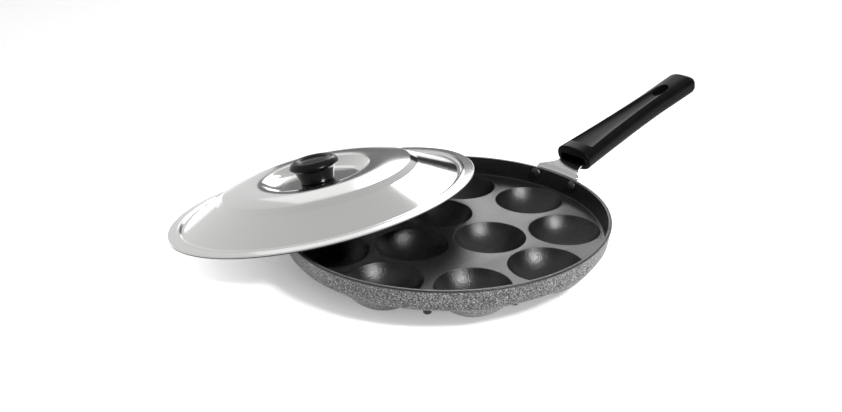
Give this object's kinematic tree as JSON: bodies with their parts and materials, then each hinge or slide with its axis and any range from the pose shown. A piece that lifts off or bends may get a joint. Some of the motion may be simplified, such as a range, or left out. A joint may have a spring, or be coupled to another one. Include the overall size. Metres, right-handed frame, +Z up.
{
  "type": "paniyaram pan",
  "caption": "Round non-stick pan with bowl-shaped cavities for small dumplings, a long riveted handle and a domed steel lid that leans on its rim.",
  "frame": {"origin": "middle of the whole footprint, on the surface that the pan's feet and the lid's edge stand on", "axes": "+X along the handle, away from the pan; +Z up, along the pan's axis; the lid leans on the +Y side"},
  "size_m": [0.4288, 0.3302, 0.0807],
  "materials": {
    "cast_aluminium": "black non-stick inside, grey hammertone outside",
    "bracket_sheet": "bright rolled sheet",
    "rivet_metal": "non-stick coated",
    "phenolic": "satin moulded phenolic",
    "knob_phenolic": "glossy moulded phenolic",
    "stainless": "mirror polished",
    "screw_steel": "zinc plated",
    "insert_brass": "as turned"
  },
  "bodies": {
    "pan": {"pan_body": "cast_aluminium", "handle_bracket": "bracket_sheet", "left_rivet": "rivet_metal", "right_rivet": "rivet_metal", "handle": "phenolic", "handle_screw": "screw_steel", "handle_insert": "insert_brass"},
    "lid": {"lid": "stainless", "knob": "knob_phenolic", "knob_insert": "insert_brass", "knob_screw": "screw_steel", "knob_washer": "screw_steel"}
  },
  "joints": [
    {"name": "lid_lift", "type": "slide", "parent": "pan", "child": "lid", "axis": [0, 0, 1], "range_m": [0, 0.12]}
  ]
}
